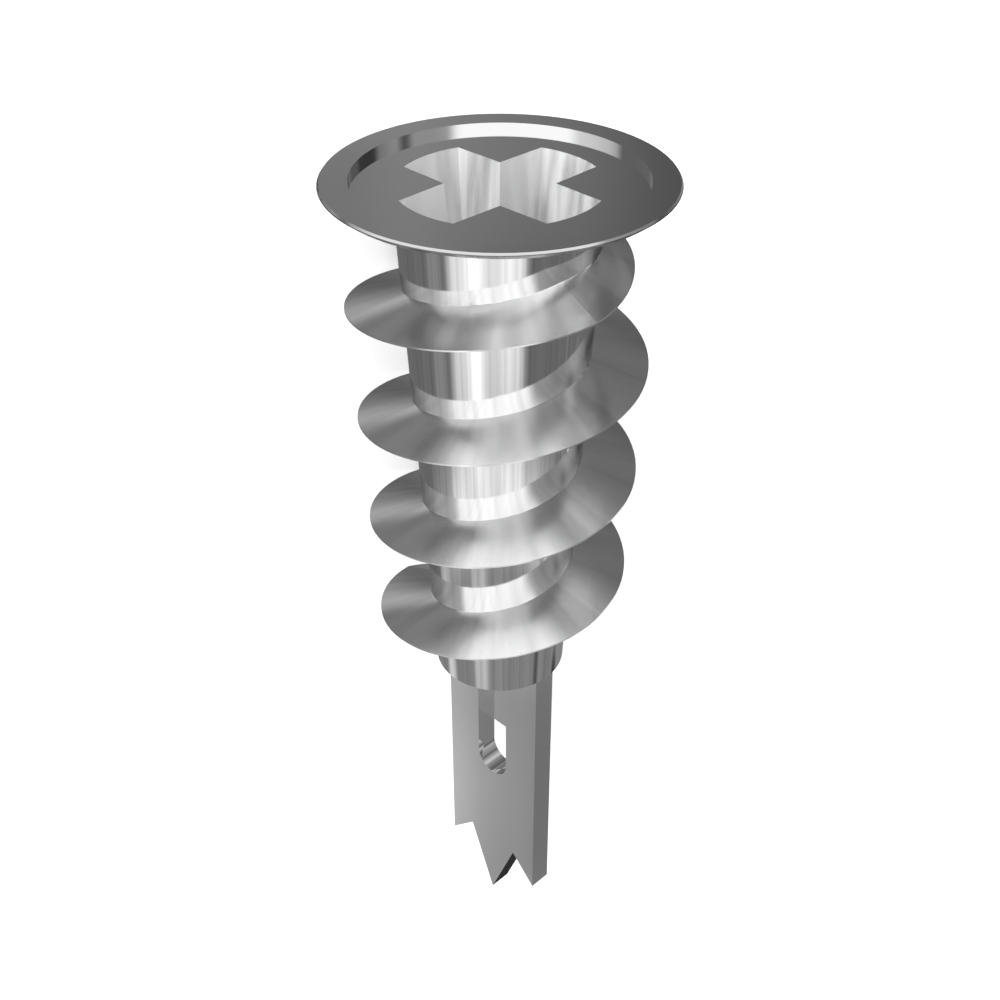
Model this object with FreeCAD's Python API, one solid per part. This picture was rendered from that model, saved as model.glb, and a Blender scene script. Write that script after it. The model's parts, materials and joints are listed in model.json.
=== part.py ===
"""Self-drilling drywall anchor, die-cast in zinc alloy as one piece.

Sizes are in millimetres. The anchor is drawn along its own axis, with the top of the flange at
height zero and the drill tip below, and is then laid down as it comes to rest on a table.
"""
import FreeCAD
import Part
import math
import os

# Flange
flange_diameter = 14.29
flange_thickness = 0.70
rim_bevel_width = 0.08
rim_bevel_height = 0.11
under_bevel_width = 0.29
under_bevel_height = 0.22
seat_diameter = 11.9
neck_chamfer = 0.82
recess_diameter = 11.9
recess_depth = 0.30

# Core
core_head_diameter = 8.60
core_tip_diameter = 6.09
core_length = 24.2

# Cross socket
socket_arms = 4
socket_first_azimuth = 45.0
socket_arm_width = 3.12
socket_arm_end_width = 3.02
socket_span = 8.46
socket_depth = 9.5
socket_side_draft = 3.8
socket_end_draft = 7.5

# Screw path below the socket, and how much of the core is left below each of its holes
screw_bore_diameter = 3.2
screw_bore_floor = 4.2
pilot_floor = 1.6

# Blade
blade_thickness = 1.13
blade_azimuth = -45.0
tip_length = 41.1
side_point_length = 38.63
notch_length = 37.18
notch_spread = 3.07
slot_width = 1.96
slot_start = 29.16
slot_end = 32.2
channel_depth = 0.565

# Flight, from its start a gap above the core's end up to its end below the flange's top
flight_head_diameter = 13.32
flight_cone_half_angle = 2.742
flight_pitch = 5.245
flight_root_thickness = 1.54
flight_land = 0.07
flight_start_gap = 1.76
flight_end_depth = 2.232
flight_start_azimuth = 94.0
flight_run_in = 50.0
flight_run_out = 97.0

# How far the flight's root and its two ends reach into the core, and how finely it is drawn
flight_embed = 0.35
flight_overrun = 4.0
flight_step = 30.0

# Steps of the search for the side where rolling stops, and how far short of it the anchor lies
coarse_roll_step = 5.0
fine_roll_step = 0.25
roll_margin = 8.5

origin = FreeCAD.Vector(0, 0, 0)
axis = FreeCAD.Vector(0, 0, 1)


def core_radius(z):
    """Radius of the core cone at height z, which is zero at the flange's top and negative below."""
    narrowing = (core_head_diameter - core_tip_diameter) / 2 / core_length
    return core_head_diameter / 2 + narrowing * z


def revolved(profile):
    """Solid of revolution about the axis from (radius, height) corners."""
    corners = [FreeCAD.Vector(radius, 0, height) for radius, height in profile]
    face = Part.Face(Part.makePolygon(corners + corners[:1]))
    return face.revolve(origin, axis, 360)


def head_and_core():
    """Thin flange with a bevelled rim and a flat seat, the chamfered neck and the tapered core."""
    rim = flange_diameter / 2
    neck_bottom = -flange_thickness - neck_chamfer
    profile = [
        (0, 0),
        (rim - rim_bevel_width, 0),
        (rim, -rim_bevel_height),
        (rim - under_bevel_width, -rim_bevel_height - under_bevel_height),
        (seat_diameter / 2, -flange_thickness),
        (core_radius(neck_bottom) + neck_chamfer, -flange_thickness),
        (core_radius(neck_bottom), neck_bottom),
        (core_tip_diameter / 2, -core_length),
        (0, -core_length),
    ]
    return revolved(profile)


def flight_sweep():
    """Degrees that the flight turns through, from its start to its end."""
    climb = core_length - flight_start_gap - flight_end_depth
    return 360 * climb / flight_pitch


def flight_height(azimuth):
    """Height of the flight's middle at an azimuth in degrees, counted on through the turns."""
    climb = flight_pitch * (azimuth - flight_start_azimuth) / 360
    return climb + flight_start_gap - core_length


def flight_fullness(azimuth):
    """1 where the flight has its full height, falling to 0 where its edge meets the core."""
    along = azimuth - flight_start_azimuth
    return min(along / flight_run_in, 1, (flight_sweep() - along) / flight_run_out)


def full_edge_radius(z):
    """Radius of the cone on which the edge of the full flight lies."""
    return flight_head_diameter / 2 + z * math.tan(math.radians(flight_cone_half_angle))


def flight_edge_radius(azimuth):
    """Radius of the flight's edge at an azimuth."""
    z = flight_height(azimuth)
    root = core_radius(z)
    return root + flight_fullness(azimuth) * (full_edge_radius(z) - root)


def flight_section(azimuth):
    """The four corners of the flight's section at an azimuth: a wedge with a narrow land."""
    z = flight_height(azimuth)
    edge = flight_edge_radius(azimuth)
    inner = core_radius(z) - flight_embed
    half_land = flight_land / 2
    flank = (flight_root_thickness / 2 - half_land) / (full_edge_radius(z) - core_radius(z))
    half_inner = half_land + flank * (edge - inner)
    turn = math.radians(azimuth)

    def corner(radius, height):
        return FreeCAD.Vector(radius * math.cos(turn), radius * math.sin(turn), height)

    return [
        corner(inner, z - half_inner),
        corner(edge, z - half_land),
        corner(edge, z + half_land),
        corner(inner, z + half_inner),
    ]


def flight_span(first, last):
    """Solid stretch of the flight between two azimuths."""
    steps = math.ceil((last - first) / flight_step)
    sections = [flight_section(first + (last - first) * i / steps) for i in range(steps + 1)]
    edges = []
    for k in range(4):
        curve = Part.BSplineCurve()
        curve.interpolate([section[k] for section in sections])
        edges.append(curve.toShape())
    faces = [Part.makeRuledSurface(edges[k], edges[(k + 1) % 4]) for k in range(4)]
    for section in (sections[0], sections[-1]):
        faces.append(Part.Face(Part.makePolygon(section + section[:1])))
    shell = Part.makeShell(faces)
    shell.sewShape()
    solid = Part.makeSolid(shell)
    if solid.Volume < 0:
        solid.reverse()
    return solid


def flight():
    """The helical flight: it runs in at the tip end, keeps its height and runs out at the head."""
    start = flight_start_azimuth
    end = start + flight_sweep()
    full_from = start + flight_run_in
    full_to = end - flight_run_out
    return [
        flight_span(start - flight_overrun, full_from),
        flight_span(full_from, full_to),
        flight_span(full_to, end + flight_overrun),
    ]


def turned(shape, angle):
    """The shape turned about the axis by an angle in degrees."""
    moved = shape.copy()
    moved.rotate(origin, axis, angle)
    return moved


def blade():
    """Flat drill blade whose corners lie on the core's end circle, with its three-pointed tip."""
    half_thickness = blade_thickness / 2
    half_width = math.sqrt((core_tip_diameter / 2) ** 2 - half_thickness ** 2)
    root = -core_length + blade_thickness
    half_notch = notch_spread / 2
    outline = [
        (-half_width, root),
        (-half_width, -side_point_length),
        (-half_notch, -notch_length),
        (0, -tip_length),
        (half_notch, -notch_length),
        (half_width, -side_point_length),
        (half_width, root),
    ]
    corners = [FreeCAD.Vector(u, -half_thickness, z) for u, z in outline]
    face = Part.Face(Part.makePolygon(corners + corners[:1]))
    return face.extrude(FreeCAD.Vector(0, blade_thickness, 0))


def blade_slot():
    """Slot right through the blade, square at the top and rounded at the bottom."""
    half_width = slot_width / 2
    round_centre = -slot_end + half_width
    front = -blade_thickness
    through = 2 * blade_thickness
    height = -slot_start - round_centre
    square = Part.makeBox(
        slot_width, through, height, FreeCAD.Vector(-half_width, front, round_centre))
    rounding = Part.makeCylinder(
        half_width, through, FreeCAD.Vector(0, front, round_centre), FreeCAD.Vector(0, 1, 0))
    return square.fuse(rounding)


def blade_channel():
    """Channel in the blade's front face, from the end of the pilot hole down into the slot."""
    half_width = slot_width / 2
    bottom = -slot_end + half_width
    height = pilot_floor - core_length - bottom
    return Part.makeBox(
        slot_width, channel_depth, height, FreeCAD.Vector(-half_width, -blade_thickness / 2, bottom))


def socket_arm(z, top):
    """Outline of one arm at height z, from the axis out to an arc centred on the axis."""
    depth = top - z
    side = depth * math.tan(math.radians(socket_side_draft))
    end = depth * math.tan(math.radians(socket_end_draft))
    half_root = socket_arm_width / 2 - side
    half_end = socket_arm_end_width / 2 - side
    radius = socket_span / 2 - end
    reach = math.sqrt(radius ** 2 - half_end ** 2)
    inner_a = FreeCAD.Vector(half_root, -half_root, z)
    outer_a = FreeCAD.Vector(reach, -half_end, z)
    middle = FreeCAD.Vector(radius, 0, z)
    outer_b = FreeCAD.Vector(reach, half_end, z)
    inner_b = FreeCAD.Vector(half_root, half_root, z)
    centre = FreeCAD.Vector(0, 0, z)
    edges = [
        Part.makeLine(centre, inner_a),
        Part.makeLine(inner_a, outer_a),
        Part.Arc(outer_a, middle, outer_b).toShape(),
        Part.makeLine(outer_b, inner_b),
        Part.makeLine(inner_b, centre),
    ]
    return Part.Wire(edges)


def cross_socket():
    """The cross-shaped hollow for the driver: four drafted arms, each with a straight mouth."""
    top = -recess_depth
    hollow = Part.makeLoft([socket_arm(top, top), socket_arm(top - socket_depth, top)], True)
    mouth = Part.Face(socket_arm(top, top)).extrude(FreeCAD.Vector(0, 0, recess_depth))
    arms = []
    for k in range(socket_arms):
        azimuth = socket_first_azimuth + 360 / socket_arms * k
        arms.append(turned(hollow, azimuth))
        arms.append(turned(mouth, azimuth))
    return arms[0].fuse(arms[1:])


def screw_path():
    """Recess, screw bore and pilot hole, all round and on the axis."""
    recess = Part.makeCylinder(
        recess_diameter / 2, 2 * recess_depth, FreeCAD.Vector(0, 0, -recess_depth))
    bore_depth = core_length - screw_bore_floor
    bore = Part.makeCylinder(
        screw_bore_diameter / 2, bore_depth, FreeCAD.Vector(0, 0, -bore_depth))
    pilot_depth = core_length - pilot_floor
    pilot = Part.makeCylinder(
        slot_width / 2, pilot_depth, FreeCAD.Vector(0, 0, -pilot_depth))
    return [recess, bore, pilot]


def anchor():
    """The whole casting, upright about its own axis."""
    body = head_and_core().fuse(flight() + [turned(blade(), blade_azimuth)])
    blade_cuts = [turned(blade_slot(), blade_azimuth), turned(blade_channel(), blade_azimuth)]
    body = body.cut([cross_socket()] + screw_path() + blade_cuts)
    return body.removeSplitter()


def floor_slope(azimuth):
    """Slope, against the axis, of a floor touching the rim and the flight with this side down."""
    rim = flange_diameter / 2
    slopes = []
    for step in range(math.ceil(flight_sweep()) + 1):
        turn = flight_start_azimuth + min(step, flight_sweep())
        reach = flight_edge_radius(turn) * math.cos(math.radians(turn - azimuth))
        below_rim = -rim_bevel_height - flight_height(turn) + flight_land / 2
        slopes.append((rim - reach) / below_rim)
    return min(slopes)


def stopping_side():
    """Azimuth of the side where rolling stops: the floor's slope is greatest there."""
    turns = math.ceil(360 / coarse_roll_step)
    side = max((coarse_roll_step * i for i in range(turns)), key=floor_slope)
    steps = math.ceil(coarse_roll_step / fine_roll_step)
    near = [side + fine_roll_step * i for i in range(-steps, steps + 1)]
    return max(near, key=floor_slope)


def resting_placement(body):
    """Where the body lies: on rim and flight, head along +X, its box centred on the origin."""
    side = stopping_side() - roll_margin
    slope = floor_slope(side)
    roll = FreeCAD.Rotation(axis, -side)
    tip_over = FreeCAD.Rotation(FreeCAD.Vector(0, 1, 0), math.degrees(math.atan2(1, slope)))
    floor_distance = flange_diameter / 2 + slope * rim_bevel_height
    lift = FreeCAD.Vector(0, 0, floor_distance * math.cos(math.atan(slope)))
    lying = FreeCAD.Placement(lift, tip_over.multiply(roll))
    box = body.transformed(lying.toMatrix(), copy=True).optimalBoundingBox()
    shift = FreeCAD.Placement(
        FreeCAD.Vector(-box.Center.x, -box.Center.y, 0), FreeCAD.Rotation())
    return shift.multiply(lying)


upright = anchor()
body = upright.transformed(resting_placement(upright).toMatrix(), copy=True)
os.makedirs("parts", exist_ok=True)
body.exportStep("parts/anchor_body.step")
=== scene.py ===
"""Metal, light and camera for a self-drilling drywall anchor, die-cast in zinc alloy.

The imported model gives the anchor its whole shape. This script gives it its bright cast metal, lays
a pale table under it, stands a tent of soft panels round it for the metal to mirror, and looks at
it from above its head.
"""
from __future__ import annotations

import json
import logging
import math
from dataclasses import dataclass
from typing import Any

import bpy
from mathutils import Matrix, Vector


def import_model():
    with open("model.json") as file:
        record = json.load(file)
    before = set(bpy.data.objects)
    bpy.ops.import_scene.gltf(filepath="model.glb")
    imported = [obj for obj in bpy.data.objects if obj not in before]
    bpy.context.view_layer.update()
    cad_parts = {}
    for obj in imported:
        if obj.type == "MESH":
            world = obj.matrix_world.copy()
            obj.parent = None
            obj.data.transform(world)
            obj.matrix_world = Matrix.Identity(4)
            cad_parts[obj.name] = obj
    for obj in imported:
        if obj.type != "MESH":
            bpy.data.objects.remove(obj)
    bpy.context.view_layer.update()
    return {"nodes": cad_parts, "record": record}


log = logging.getLogger("drywall_anchor")

Colour = tuple[float, float, float, float]
BLACK: Colour = (0.0, 0.0, 0.0, 1.0)
WHITE: Colour = (1.0, 1.0, 1.0, 1.0)
HALF_TURN = 180.0


class Value:
    """A number that varies over a surface, for use in ordinary arithmetic."""

    def __init__(self, nodes: "Nodes", socket: bpy.types.NodeSocket) -> None:
        """Wraps the output socket that carries the number."""
        self.nodes = nodes
        self.socket = socket

    def _math(self, operation: str, *others: "Value | float") -> "Value":
        """Adds a Math node that works on this value first and then on the others."""
        return self.nodes.math(operation, self, *others)

    def __add__(self, other: "Value | float") -> "Value":
        """This value plus another."""
        return self._math("ADD", other)

    __radd__ = __add__

    def __sub__(self, other: "Value | float") -> "Value":
        """This value less another."""
        return self._math("SUBTRACT", other)

    def __rsub__(self, other: float) -> "Value":
        """A number less this value."""
        return self.nodes.math("SUBTRACT", other, self)

    def __mul__(self, other: "Value | float") -> "Value":
        """This value times another."""
        return self._math("MULTIPLY", other)

    def __truediv__(self, other: "Value | float") -> "Value":
        """This value over another."""
        return self._math("DIVIDE", other)

    def __abs__(self) -> "Value":
        """The value without its sign."""
        return self._math("ABSOLUTE")

    def wrapped(self, low: float, high: float) -> "Value":
        """The value brought into a range by whole turns of it."""
        return self._math("WRAP", high, low)

    def falling(self, full: float, none: float) -> "Value":
        """A smooth step down.

        Args:
            full: Up to here the step is 1.
            none: From here on it is 0.

        Returns:
            The step.
        """
        node = self.nodes.add(
            "ShaderNodeMapRange",
            {"interpolation_type": "SMOOTHSTEP"},
            {"Value": self, "From Min": full, "From Max": none, "To Min": 1.0, "To Max": 0.0},
        )
        return Value(self.nodes, node.outputs["Result"])


class Nodes:
    """Builds the node tree of one material or world."""

    def __init__(self, tree: bpy.types.NodeTree) -> None:
        """Starts from an empty tree."""
        self.tree = tree
        tree.nodes.clear()

    def add(
        self,
        kind: str,
        settings: dict[str, Any] | None = None,
        inputs: dict[str | int, Any] | None = None,
    ) -> bpy.types.Node:
        """Adds one node.

        Args:
            kind: The node's type.
            settings: The node's own properties, which are set first.
            inputs: A number, a colour, a Value or another node's socket for each named input.

        Returns:
            The new node.
        """
        node = self.tree.nodes.new(kind)
        for name, setting in (settings or {}).items():
            setattr(node, name, setting)
        for name, given in (inputs or {}).items():
            source = given.socket if isinstance(given, Value) else given
            if isinstance(source, bpy.types.NodeSocket):
                self.tree.links.new(source, node.inputs[name])
            else:
                node.inputs[name].default_value = source
        return node

    def math(self, operation: str, *values: Value | float) -> Value:
        """The result of a Math node on one to three values."""
        node = self.add("ShaderNodeMath", {"operation": operation}, dict(enumerate(values)))
        return Value(self, node.outputs[0])

    def object_point(self) -> bpy.types.NodeSocket:
        """The point on the surface in the object's own coordinates."""
        return self.add("ShaderNodeTexCoord").outputs["Object"]

    def split(self, point: bpy.types.NodeSocket) -> tuple[Value, Value, Value]:
        """The three coordinates of a point."""
        node = self.add("ShaderNodeSeparateXYZ", None, {0: point})
        return tuple(Value(self, out) for out in node.outputs)

    def noise(self, point: bpy.types.NodeSocket, lumps: float, octaves: float) -> Value:
        """Even noise around a half.

        Args:
            point: Where the noise is read.
            lumps: How many of its lumps go to one unit of the point.
            octaves: How many times finer noise is added.

        Returns:
            The noise, from 0 to 1.
        """
        node = self.add(
            "ShaderNodeTexNoise", None, {"Vector": point, "Scale": lumps, "Detail": octaves}
        )
        return Value(self, node.outputs["Fac"])

    def radius(self, point: bpy.types.NodeSocket) -> Value:
        """The distance of a point from the upright axis."""
        side, back, _ = self.split(point)
        return self.math("SQRT", side * side + back * back)

    def bearing(self, point: bpy.types.NodeSocket) -> bpy.types.NodeSocket:
        """The direction of a point from the upright axis.

        Args:
            point: The point.

        Returns:
            The direction, as a point on a level circle of radius 1.
        """
        side, back, _ = self.split(point)
        radius = self.radius(point)
        node = self.add("ShaderNodeCombineXYZ", None, {0: side / radius, 1: back / radius, 2: 0.0})
        return node.outputs["Vector"]

    def squeezed(self, point: bpy.types.NodeSocket, up_share: float) -> bpy.types.NodeSocket:
        """Cuts a point's height down, which draws a noise out along the height.

        Args:
            point: The point.
            up_share: The share of its height that it keeps.

        Returns:
            The squeezed point.
        """
        side, back, up = self.split(point)
        node = self.add("ShaderNodeCombineXYZ", None, {0: side, 1: back, 2: up * up_share})
        return node.outputs["Vector"]


@dataclass(frozen=True)
class AnchorAxes:
    """The anchor's own axes as it lies: to the right, to the back and towards its head."""

    flange_top: Vector
    turn: Matrix

    @classmethod
    def of_record(cls, record: dict[str, Any], recess_depth: float = 0.0003) -> "AnchorAxes":
        """Reads the axes from the record's mounts.

        Args:
            record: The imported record.
            recess_depth: How far the socket's mouth lies below the flange's top.

        Returns:
            The axes, with their origin in the middle of the flange's top.
        """
        mounts = {mount["name"]: mount for mount in record["mounts"]}
        head = Vector(mounts["screw_bore"]["axis"]).normalized()
        flange_top = Vector(mounts["drive_socket"]["pos_m"]) + head * recess_depth
        front = Vector(mounts["flange_seat"]["pos_m"]) - flange_top
        back = -(front - head * front.dot(head)).normalized()
        right = back.cross(head)
        return cls(flange_top, Matrix((right, back, head)).transposed())

    def point_on_anchor(self, nodes: Nodes) -> bpy.types.NodeSocket:
        """Brings a point of the lying anchor into the anchor's own axes.

        Args:
            nodes: The material that the point is for.

        Returns:
            The point on the surface, with zero height at the flange's top.
        """
        inverse = self.turn.transposed()
        node = nodes.add(
            "ShaderNodeMapping",
            {"vector_type": "POINT"},
            {
                "Vector": nodes.object_point(),
                "Location": -(inverse @ self.flange_top),
                "Rotation": inverse.to_euler("XYZ"),
            },
        )
        return node.outputs["Vector"]


@dataclass(frozen=True)
class ConeZone:
    """A stretch of the anchor between two depths, inside or outside a cone about its own axis."""

    start_depth: float
    end_depth: float
    top_radius: float
    narrowing: float
    outside: bool

    def mask(self, nodes: Nodes, point: bpy.types.NodeSocket) -> Value:
        """1 in the zone and 0 on the rest of the anchor.

        Args:
            nodes: The material that the mask is for.
            point: The point on the surface, in the anchor's own axes.

        Returns:
            The mask.
        """
        _, _, up = nodes.split(point)
        cone = up * self.narrowing + self.top_radius
        side = "GREATER_THAN" if self.outside else "LESS_THAN"
        beside_cone = nodes.math(side, nodes.radius(point), cone)
        below_start = nodes.math("LESS_THAN", up, -self.start_depth)
        above_end = nodes.math("GREATER_THAN", up, -self.end_depth)
        return beside_cone * below_start * above_end


SOCKET_WALLS = ConeZone(
    start_depth=0.00031, end_depth=0.0230, top_radius=0.00426, narrowing=0.09, outside=False
)
FLIGHT = ConeZone(
    start_depth=0.0017, end_depth=0.0242, top_radius=0.00433, narrowing=0.0519, outside=True
)
# Band under the rim's bevel whose base colour is darkened as painted shade
UNDER_RIM = ConeZone(
    start_depth=0.00008, end_depth=0.00040, top_radius=0.0067, narrowing=0.0, outside=True
)


@dataclass(frozen=True)
class CastZinc:
    """Bright zinc alloy as it leaves a polished die: mirror-like, with a faint cloudy bloom.

    The flight is silkier than the core, with faint flow marks that run outwards. The pin that forms
    the socket leaves its walls pale and frosted, and a thin band under the rim is darkened as
    painted shade.
    """

    colour: Colour = (0.87, 0.873, 0.871, 1.0)
    roughness: float = 0.04
    cloud_size: float = 0.0035
    cloud_roughness: float = 0.04
    cloud_darkening: float = 0.04
    skin_size: float = 0.0009
    skin_height: float = 0.0000003
    flight_roughness: float = 0.21
    flow_marks_round: float = 5.0
    flow_mark_darkening: float = 0.14
    flow_mark_range: tuple[float, float] = (0.38, 0.72)
    # Painted shade: how far the band under the rim is darkened towards black
    under_rim_painted_shade: float = 0.72
    socket_roughness: float = 0.3
    socket_frost: float = 0.15
    draw_mark_size: float = 0.0006
    draw_mark_up_share: float = 0.04
    draw_mark_frost: float = 0.6

    def material(self, axes: AnchorAxes) -> bpy.types.Material:
        """Makes the metal.

        Args:
            axes: The anchor's own axes, which the flight and the socket are found by.

        Returns:
            A material whose clouds and skin follow the anchor.
        """
        made = bpy.data.materials.new("cast_zinc")
        made.use_nodes = True
        nodes = Nodes(made.node_tree)
        point = axes.point_on_anchor(nodes)
        cloud = nodes.noise(point, 1 / self.cloud_size, octaves=2.0)
        skin = nodes.noise(point, 1 / self.skin_size, octaves=1.0)
        roughness = self.roughness + cloud * self.cloud_roughness
        on_flight = FLIGHT.mask(nodes, point)
        in_socket = SOCKET_WALLS.mask(nodes, point)
        drawn_out = nodes.squeezed(point, self.draw_mark_up_share)
        draw_marks = nodes.noise(drawn_out, 1 / self.draw_mark_size, octaves=1.0)
        frost = self.socket_frost + (draw_marks - 0.5) * self.draw_mark_frost
        roughness = roughness + on_flight * (self.flight_roughness - roughness)
        roughness = roughness + in_socket * (self.socket_roughness - roughness)
        flow_marks = nodes.noise(nodes.bearing(point), self.flow_marks_round, octaves=2.0)
        streaks = on_flight * (1.0 - flow_marks.falling(*self.flow_mark_range))
        # Painted shade: the base colour of a thin band under the rim is darkened to stand in for the
        # shade there
        rim_painted_shade = UNDER_RIM.mask(nodes, point) * self.under_rim_painted_shade
        darkening = cloud * self.cloud_darkening + streaks * self.flow_mark_darkening + rim_painted_shade
        tint = nodes.add(
            "ShaderNodeMix",
            {"data_type": "RGBA"},
            {"Factor": darkening, 6: self.colour, 7: BLACK},
        )
        bump = nodes.add(
            "ShaderNodeBump", None, {"Strength": 1.0, "Distance": self.skin_height, "Height": skin}
        )
        shader = nodes.add(
            "ShaderNodeBsdfPrincipled",
            None,
            {
                "Base Color": tint.outputs[2],
                "Metallic": 1.0 - in_socket * frost,
                "Roughness": roughness,
                "Normal": bump.outputs["Normal"],
            },
        )
        nodes.add("ShaderNodeOutputMaterial", None, {"Surface": shader.outputs["BSDF"]})
        return made


@dataclass(frozen=True)
class PaleTable:
    """Matt off-white table top."""

    colour: Colour = (0.985, 0.985, 0.985, 1.0)

    def material(self) -> bpy.types.Material:
        """Makes the table's matt paint.

        Returns:
            A material of one even colour.
        """
        made = bpy.data.materials.new("pale_table")
        made.use_nodes = True
        nodes = Nodes(made.node_tree)
        shader = nodes.add("ShaderNodeBsdfDiffuse", None, {"Color": self.colour})
        nodes.add("ShaderNodeOutputMaterial", None, {"Surface": shader.outputs["BSDF"]})
        return made


@dataclass(frozen=True)
class Panel:
    """One soft-edged panel of the tent, placed in degrees about the anchor's axis.

    Azimuth 270 is the side that the camera looks from, and elevation 90 is over the head.
    """

    azimuth: float
    elevation: float
    half_width: float
    half_height: float
    brightness: float
    softness: float = 8.0

    def mask(self, azimuth: Value, elevation: Value) -> Value:
        """1 on the panel and 0 off it.

        Args:
            azimuth: The azimuth on the tent, in degrees.
            elevation: The elevation on the tent, in degrees.

        Returns:
            The mask.
        """
        aside = abs((azimuth - self.azimuth).wrapped(-HALF_TURN, HALF_TURN))
        above = abs(elevation - self.elevation)
        edge = self.softness / 2
        across = aside.falling(self.half_width - edge, self.half_width + edge)
        upright = above.falling(self.half_height - edge, self.half_height + edge)
        return across * upright


@dataclass(frozen=True)
class LightTent:
    """The tent that the metal mirrors: grey cloth with paler and darker panels hung on it.

    Part of this table was made by another program. The cloth's brightness and the first 19 panels
    are a least-squares fit to the photo's brightness, rounded, and a few of them were then changed.
    The other panels are given one by one, except where their heading says more.
    """

    radius: float = 1.6
    segments: int = 96
    rings: int = 48
    pleats_round: float = 13.0
    pleat_depth: float = 0.84
    pleats_end: tuple[float, float] = (5.0, 20.0)
    cloth: float = 0.67
    panels: tuple[Panel, ...] = (
        # From the fit: broad dark and grey stretches behind the anchor and to its sides
        Panel(111, -29, 67, 54, 0.08, 44),
        Panel(71, 16, 16, 17, 0.60, 13),
        Panel(147, 31, 59, 16, 0.19, 11),
        Panel(151, 14, 57, 6, 0.43, 43),
        # From the fit: large soft lights in front, below and above the level of the flange
        Panel(262, -19, 66, 22, 1.60, 23),
        Panel(273, 39, 99, 32, 0.82, 31),
        # From the fit: right-hand side, grey with a paler upright panel
        Panel(18, -18, 77, 36, 0.27, 12),
        Panel(7, 28, 16, 21, 0.80, 17),
        Panel(349, 26, 36, 17, 0.28, 33),
        Panel(48, 34, 33, 30, 0.11, 31),
        Panel(61, 44, 18, 16, 0.16, 4),
        Panel(16, -58, 12, 40, 1.20, 4),
        # From the fit: left-hand side
        Panel(196, 8, 20, 11, 0.12, 21),
        Panel(242, -19, 103, 9, 0.79, 43),
        # From the fit: what the flange's flat top mirrors
        Panel(82, 36, 6, 43, 0.09, 14),
        Panel(88, 31, 3, 5, 0.05, 11),
        Panel(103, 26, 8, 6, 0.20, 4),
        # From the fit, made brighter: pale floor
        Panel(314, -57, 41, 17, 1.50, 10),
        Panel(265, -76, 112, 21, 1.60, 13),
        # Grey foot of the front light, which started as one of the fit's panels
        Panel(230, -18, 52, 8, 0.34, 9),
        # Front light above its foot
        Panel(250, 4, 46, 9, 1.45, 8),
        # Bright strip above the front light, for the recess wall and the rim's bevel
        Panel(325, 20, 18, 6, 0.34, 8),
        Panel(240, 20, 57, 6, 1.00, 60),
        Panel(350, 20, 5, 5, 0.10, 10),
        Panel(258, 20, 48, 6, 1.30, 16),
        Panel(36, 20, 14, 5, 0.04, 10),
        Panel(135, 20, 28, 5, 0.14, 10),
        Panel(250, 44, 90, 10, 0.86, 12),
        # Low row that the core mirrors, with most of its brightness from the fit
        Panel(180, -31, 180, 8, 0.15, 6),
        Panel(190, -31, 9, 8, 0.26, 8),
        Panel(254, -31, 44, 8, 0.88, 18),
        Panel(240, -31, 8, 8, 1.29, 10),
        Panel(284, -28, 12, 7, 1.05, 12),
        # Lowest row, for the core's end and the blade, brightness from the fit
        Panel(180, -47, 180, 5, 0.24, 4),
        Panel(169, -47, 9, 5, 0.70, 12),
        Panel(235, -47, 13, 5, 0.52, 10),
        Panel(268, -47, 6, 5, 0.28, 6),
        Panel(340, -47, 4, 5, 0.09, 6),
        Panel(5, -47, 8, 5, 0.20, 8),
        Panel(30, -47, 6, 5, 0.03, 8),
        # Light spots that the left and lower ends of the flight's turns mirror
        Panel(110, 14, 6, 4, 0.56, 3),
        Panel(27, -38, 11, 4, 1.20, 6),
        # Dark patch that the notch of the drill tip mirrors
        Panel(66, -60, 14, 8, 0.03, 10),
    )

    def material(self) -> bpy.types.Material:
        """Makes the cloth and its panels, which shine by themselves.

        Returns:
            A material whose brightness goes by the direction from the tent's middle.
        """
        made = bpy.data.materials.new("tent_cloth")
        made.use_nodes = True
        nodes = Nodes(made.node_tree)
        side, back, up = nodes.split(nodes.object_point())
        degrees = math.degrees(1.0)
        azimuth = nodes.math("ARCTAN2", back, side) * degrees
        elevation = nodes.math("ARCSINE", up / self.radius) * degrees
        level: Value | float = self.cloth
        for panel in self.panels:
            mask = panel.mask(azimuth, elevation)
            level = level + mask * (panel.brightness - level)
        bearing = nodes.bearing(nodes.object_point())
        pleats = nodes.noise(bearing, self.pleats_round, octaves=3.0) - 0.5
        low_down = elevation.falling(*self.pleats_end)
        level = level * (1.0 + pleats * low_down * self.pleat_depth)
        light = nodes.add("ShaderNodeEmission", None, {"Color": level})
        nodes.add("ShaderNodeOutputMaterial", None, {"Surface": light.outputs["Emission"]})
        made.cycles.emission_sampling = "NONE"
        return made


@dataclass(frozen=True)
class StudioCamera:
    """Camera above the anchor's head, in front of its axis and tilted down its length.

    Its place, tilt and lens are a fit to the round edges that the photo shows.
    """

    in_front: float = 0.0524192
    above_head: float = 0.0209721
    tilt_degrees: float = 34.747664
    lens_mm: float = 50.7638
    nearest: float = 0.001
    farthest: float = 10.0

    def build(self, axes: AnchorAxes) -> None:
        """Adds the camera and makes it the scene's own.

        Args:
            axes: The anchor's own axes, which the camera stands by.
        """
        tilt = math.radians(self.tilt_degrees)
        right = Vector((1, 0, 0))
        up = Vector((0, math.sin(tilt), math.cos(tilt)))
        behind = Vector((0, -math.cos(tilt), math.sin(tilt)))
        aim = axes.turn @ Matrix((right, up, behind)).transposed()
        place = axes.flange_top + axes.turn @ Vector((0, -self.in_front, self.above_head))
        bpy.ops.object.camera_add()
        camera = bpy.context.object
        camera.matrix_world = Matrix.Translation(place) @ aim.to_4x4()
        camera.data.lens = self.lens_mm
        camera.data.clip_start = self.nearest
        camera.data.clip_end = self.farthest
        bpy.context.scene.camera = camera
        log.info("camera: %.1f mm lens, %.3f m above the table", self.lens_mm, place.z)


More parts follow.
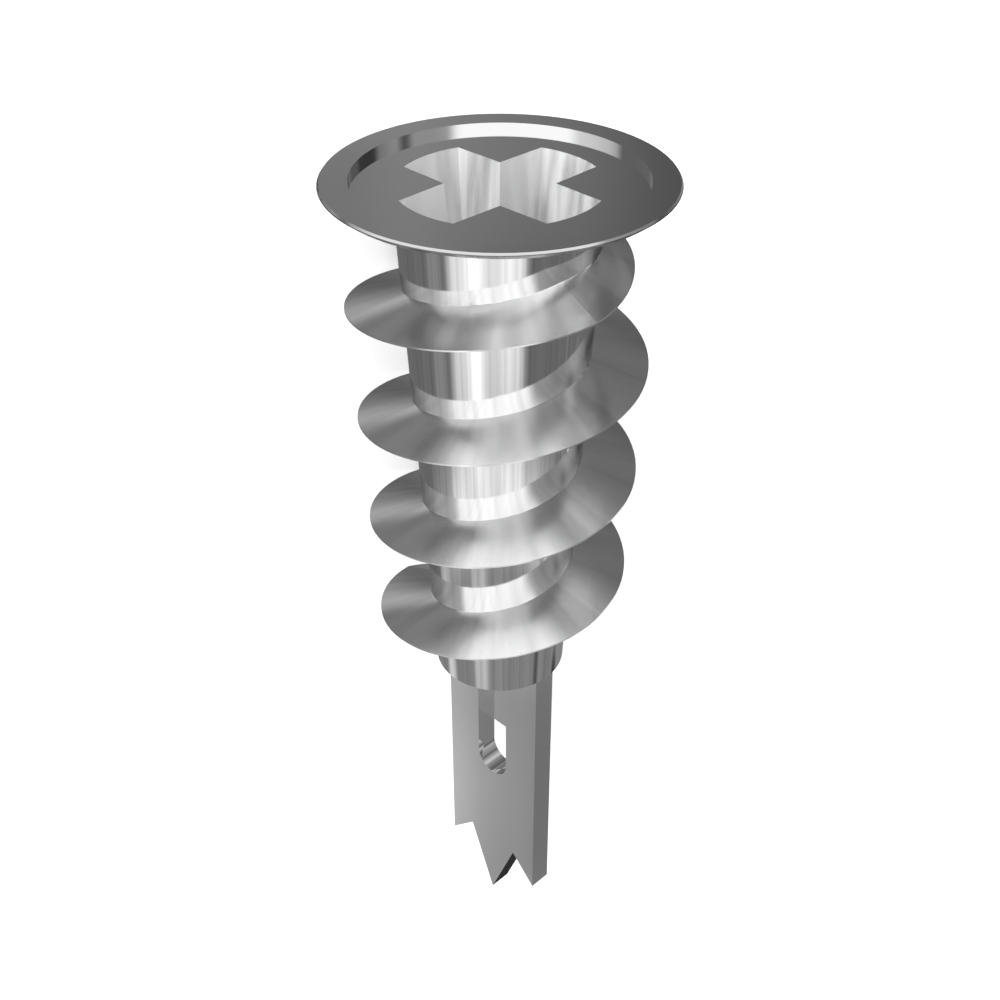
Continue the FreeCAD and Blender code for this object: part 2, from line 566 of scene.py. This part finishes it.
@dataclass(frozen=True)
class HeadLamp:
    """Round soft lamp over the head, from the left, that reaches down into the socket."""

    azimuth: float = 218.0
    elevation: float = 60.0
    distance: float = 0.4
    width: float = 0.12
    power: float = 6.0

    def build(self, axes: AnchorAxes) -> None:
        """Adds the lamp, which the metal doesn't mirror.

        Args:
            axes: The anchor's own axes, which the lamp hangs by.
        """
        azimuth, elevation = math.radians(self.azimuth), math.radians(self.elevation)
        level = math.cos(elevation)
        way = Vector((level * math.cos(azimuth), level * math.sin(azimuth), math.sin(elevation)))
        towards = axes.turn @ way
        bpy.ops.object.light_add(type="AREA")
        lamp = bpy.context.object
        lamp.name = "head_lamp"
        lamp.location = axes.flange_top + towards * self.distance
        lamp.rotation_euler = towards.to_track_quat("Z", "Y").to_euler()
        lamp.data.shape = "DISK"
        lamp.data.size = self.width
        lamp.data.energy = self.power
        lamp.visible_glossy = False
        lamp.visible_camera = False
        log.info("head_lamp: %.1f W", self.power)


@dataclass
class Studio:
    """Table, daylight, lamp, light tent and camera."""

    axes: AnchorAxes
    table_size: float = 6.0
    daylight_strength: float = 1.2

    def build(self) -> None:
        """Sets up all that stands round the anchor."""
        bpy.context.scene.view_settings.view_transform = "Standard"
        self.daylight()
        HeadLamp().build(self.axes)
        self.table()
        self.tent()
        StudioCamera().build(self.axes)

    def daylight(self) -> None:
        """Even white light from all round, which the metal doesn't mirror."""
        world = bpy.data.worlds.new("daylight")
        world.use_nodes = True
        nodes = Nodes(world.node_tree)
        light = nodes.add(
            "ShaderNodeBackground",
            None,
            {"Color": WHITE, "Strength": self.daylight_strength},
        )
        nodes.add("ShaderNodeOutputWorld", None, {"Surface": light.outputs["Background"]})
        world.cycles_visibility.glossy = False
        bpy.context.scene.world = world
        log.info("daylight: even white")

    def table(self) -> None:
        """The pale table top that the anchor lies on."""
        bpy.ops.mesh.primitive_plane_add(size=self.table_size)
        top = bpy.context.object
        top.name = "table_top"
        top.data.materials.append(PaleTable().material())
        top.visible_glossy = False
        log.info("table_top: %.0f m square", self.table_size)

    def tent(self) -> None:
        """The tent round the anchor, turned with its axes, which only the metal sees."""
        tent = LightTent()
        bpy.ops.mesh.primitive_uv_sphere_add(
            segments=tent.segments, ring_count=tent.rings, radius=tent.radius
        )
        shell = bpy.context.object
        shell.name = "light_tent"
        shell.matrix_world = Matrix.Translation(self.axes.flange_top) @ self.axes.turn.to_4x4()
        shell.data.materials.append(tent.material())
        shell.visible_camera = False
        shell.visible_diffuse = False
        shell.visible_shadow = False
        shell.visible_transmission = False
        shell.visible_volume_scatter = False
        log.info("light_tent: %d panels", len(tent.panels))


@dataclass
class DrywallAnchor:
    """The anchor itself, one casting."""

    casting: bpy.types.Object
    axes: AnchorAxes
    metal: CastZinc = CastZinc()

    def dress(self) -> None:
        """Gives the casting its metal."""
        self.casting.data.materials.clear()
        self.casting.data.materials.append(self.metal.material(self.axes))
        log.info("%s: %d faces in cast zinc", self.casting.name, len(self.casting.data.polygons))


def main() -> None:
    """Builds the anchor's looks and its studio in order."""
    logging.basicConfig(level=logging.INFO, format="%(name)s: %(message)s")
    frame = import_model()
    bpy.ops.object.select_all(action="DESELECT")
    axes = AnchorAxes.of_record(frame["record"])
    DrywallAnchor(frame["nodes"]["anchor_body"], axes).dress()
    Studio(axes).build()


if __name__ == "__main__":
    main()
